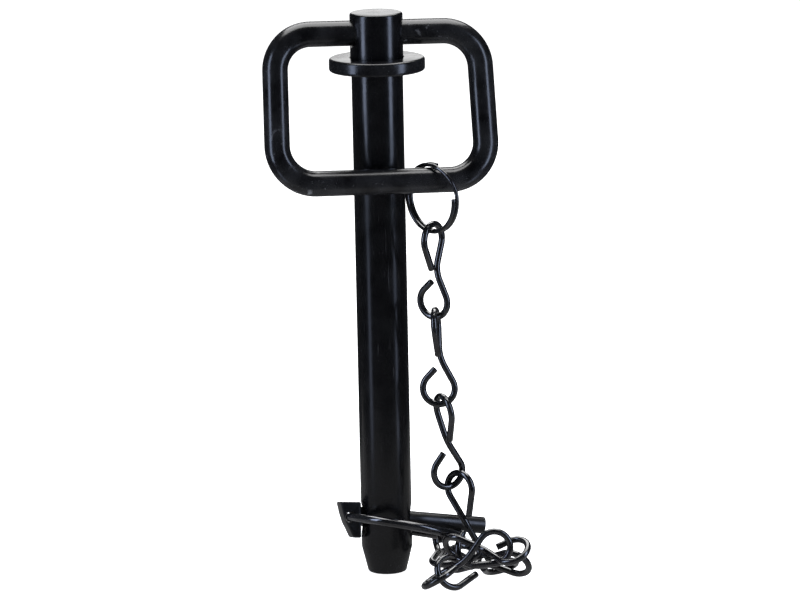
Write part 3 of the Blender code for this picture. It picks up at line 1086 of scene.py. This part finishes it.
@dataclass
class Studio:
    """The pale floor, the soft lights and the camera.

    Attributes:
        azimuth: The camera's direction from the object, as in towards.
        elevation: Its height above the horizon, in degrees.
        roll: Its turn about its own line of sight, in degrees.
        distance: Its distance from what it is aimed at.
        aim: The point it faces.
        lens: Its focal length, in millimetres.
        sensor: Its sensor's width, in millimetres.
        shift: Its lens shift across and up.
        clip: The nearest and farthest it sees.
        floor_half: Half the table's width.
        floor_height: Height of the table's top, just under the object.
        floor_grey: The table's share of reflected light.
        floor_glow: The table's own light.
        surround: Colour and strength of what the object reflects.
    """

    azimuth: float = -11.0
    elevation: float = 11.5476
    roll: float = -1.2082
    distance: float = 1.821
    aim: tuple[float, float, float] = (0.0, 0.0, 0.103)
    lens: float = 220.16
    sensor: float = 36.0
    shift: tuple[float, float] = (0.02256, 0.00219)
    clip: tuple[float, float] = (0.05, 50.0)
    floor_half: float = 6.0
    floor_height: float = -0.2 * MM
    floor_grey: float = 0.9
    floor_glow: float = 1.05
    surround: tuple[str, float] = ("#7c7f88", 0.16)

    def build_floor(self) -> None:
        """Lay a pale lit table under the object."""
        bm = bmesh.new()
        bmesh.ops.create_grid(bm, x_segments=1, y_segments=1, size=self.floor_half)
        bmesh.ops.translate(bm, verts=bm.verts, vec=(0.0, 0.0, self.floor_height))
        floor = object_from(bm, "studio_table")
        material = bpy.data.materials.new("lit_white_table")
        material.use_nodes = True
        shader = material.node_tree.nodes["Principled BSDF"]
        shader.inputs["Base Color"].default_value = (self.floor_grey,) * 3 + (1.0,)
        shader.inputs["Roughness"].default_value = 0.9
        shader.inputs["Specular IOR Level"].default_value = 0.0
        shader.inputs["Emission Color"].default_value = (1.0, 1.0, 1.0, 1.0)
        shader.inputs["Emission Strength"].default_value = self.floor_glow
        floor.data.materials.append(material)
        floor.visible_glossy = False

    def build_world(self) -> None:
        """Make the surroundings white to the camera and dim in reflections."""
        colour, strength = self.surround
        world = bpy.data.worlds.new("studio")
        world.use_nodes = True
        tree = world.node_tree
        tree.nodes.clear()
        rays = add_node(tree, "ShaderNodeLightPath")
        seen = add_node(tree, "ShaderNodeBackground", {"Color": (1.0, 1.0, 1.0, 1.0), "Strength": 1.0})
        dim = add_node(tree, "ShaderNodeBackground", {"Color": linear(colour), "Strength": strength})
        mix = add_node(tree, "ShaderNodeMixShader", {0: rays.outputs["Is Camera Ray"],
                                                     1: dim.outputs["Background"],
                                                     2: seen.outputs["Background"]})
        add_node(tree, "ShaderNodeOutputWorld", {"Surface": mix.outputs["Shader"]})
        bpy.context.scene.world = world

    def build_lights(self) -> None:
        """Hang the soft lights."""
        near = self.azimuth
        for light in (
            Softbox("left_strip", near - 60.0, 10.0, 0.38, (0.10, 0.34), 6.0, (0, 0, 0.19), DAYLIGHT),
            Softbox("right_strip", near + 60.0, 10.0, 0.38, (0.10, 0.34), 5.5, (0, 0, 0.19), DAYLIGHT),
            Softbox("left_low", near - 58.0, 0.0, 0.17, (0.035, 0.09), 1.3, (0, 0, 0.05), DAYLIGHT),
            Softbox("right_low", near + 62.0, 0.0, 0.17, (0.03, 0.09), 1.5, (0, 0, 0.05), DAYLIGHT),
            Softbox("overhead", near + 176.0, 71.0, 0.9, (0.9, 0.9), 5.5),
            Softbox("back_panel", near + 180.0, 12.0, 1.2, (0.45, 0.34), 1.7, (0, 0, 0.2)),
            Softbox("table_bounce", near, -90.0, 0.201, (0.36, 0.36), 0.22, (0, 0, 0.2)),
        ):
            light.build()

    def build_camera(self) -> None:
        """Stand the camera at its place."""
        a, r = math.radians(self.azimuth), math.radians(self.roll)
        back = towards(self.azimuth, self.elevation)
        right = Vector((math.cos(a), math.sin(a), 0.0))
        up = back.cross(right)
        across = math.cos(r) * right + math.sin(r) * up
        above = math.cos(r) * up - math.sin(r) * right
        data = bpy.data.cameras.new("studio_camera")
        data.lens, data.sensor_width = self.lens, self.sensor
        data.shift_x, data.shift_y = self.shift
        data.clip_start, data.clip_end = self.clip
        camera = bpy.data.objects.new("studio_camera", data)
        turn = Matrix((across, above, back)).transposed().to_4x4()
        camera.matrix_world = Matrix.Translation(Vector(self.aim) + back * self.distance) @ turn
        bpy.context.scene.collection.objects.link(camera)
        bpy.context.scene.camera = camera

    def build(self) -> None:
        """Build the whole studio."""
        self.build_camera()
        self.build_floor()
        self.build_world()
        self.build_lights()
        bpy.context.scene.view_settings.view_transform = "Standard"


def main() -> None:
    """Build every sub-assembly in order, then the studio."""
    logging.basicConfig(level=logging.INFO, format="%(message)s")
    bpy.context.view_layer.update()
    PinBar().build()
    handle = BarHandle()
    handle.build()
    SplitRing(handle).build()
    for link in LINKS:
        link.build()
    LinchPin().build()
    Studio().build()
    bpy.context.view_layer.update()


if __name__ == "__main__":
    main()
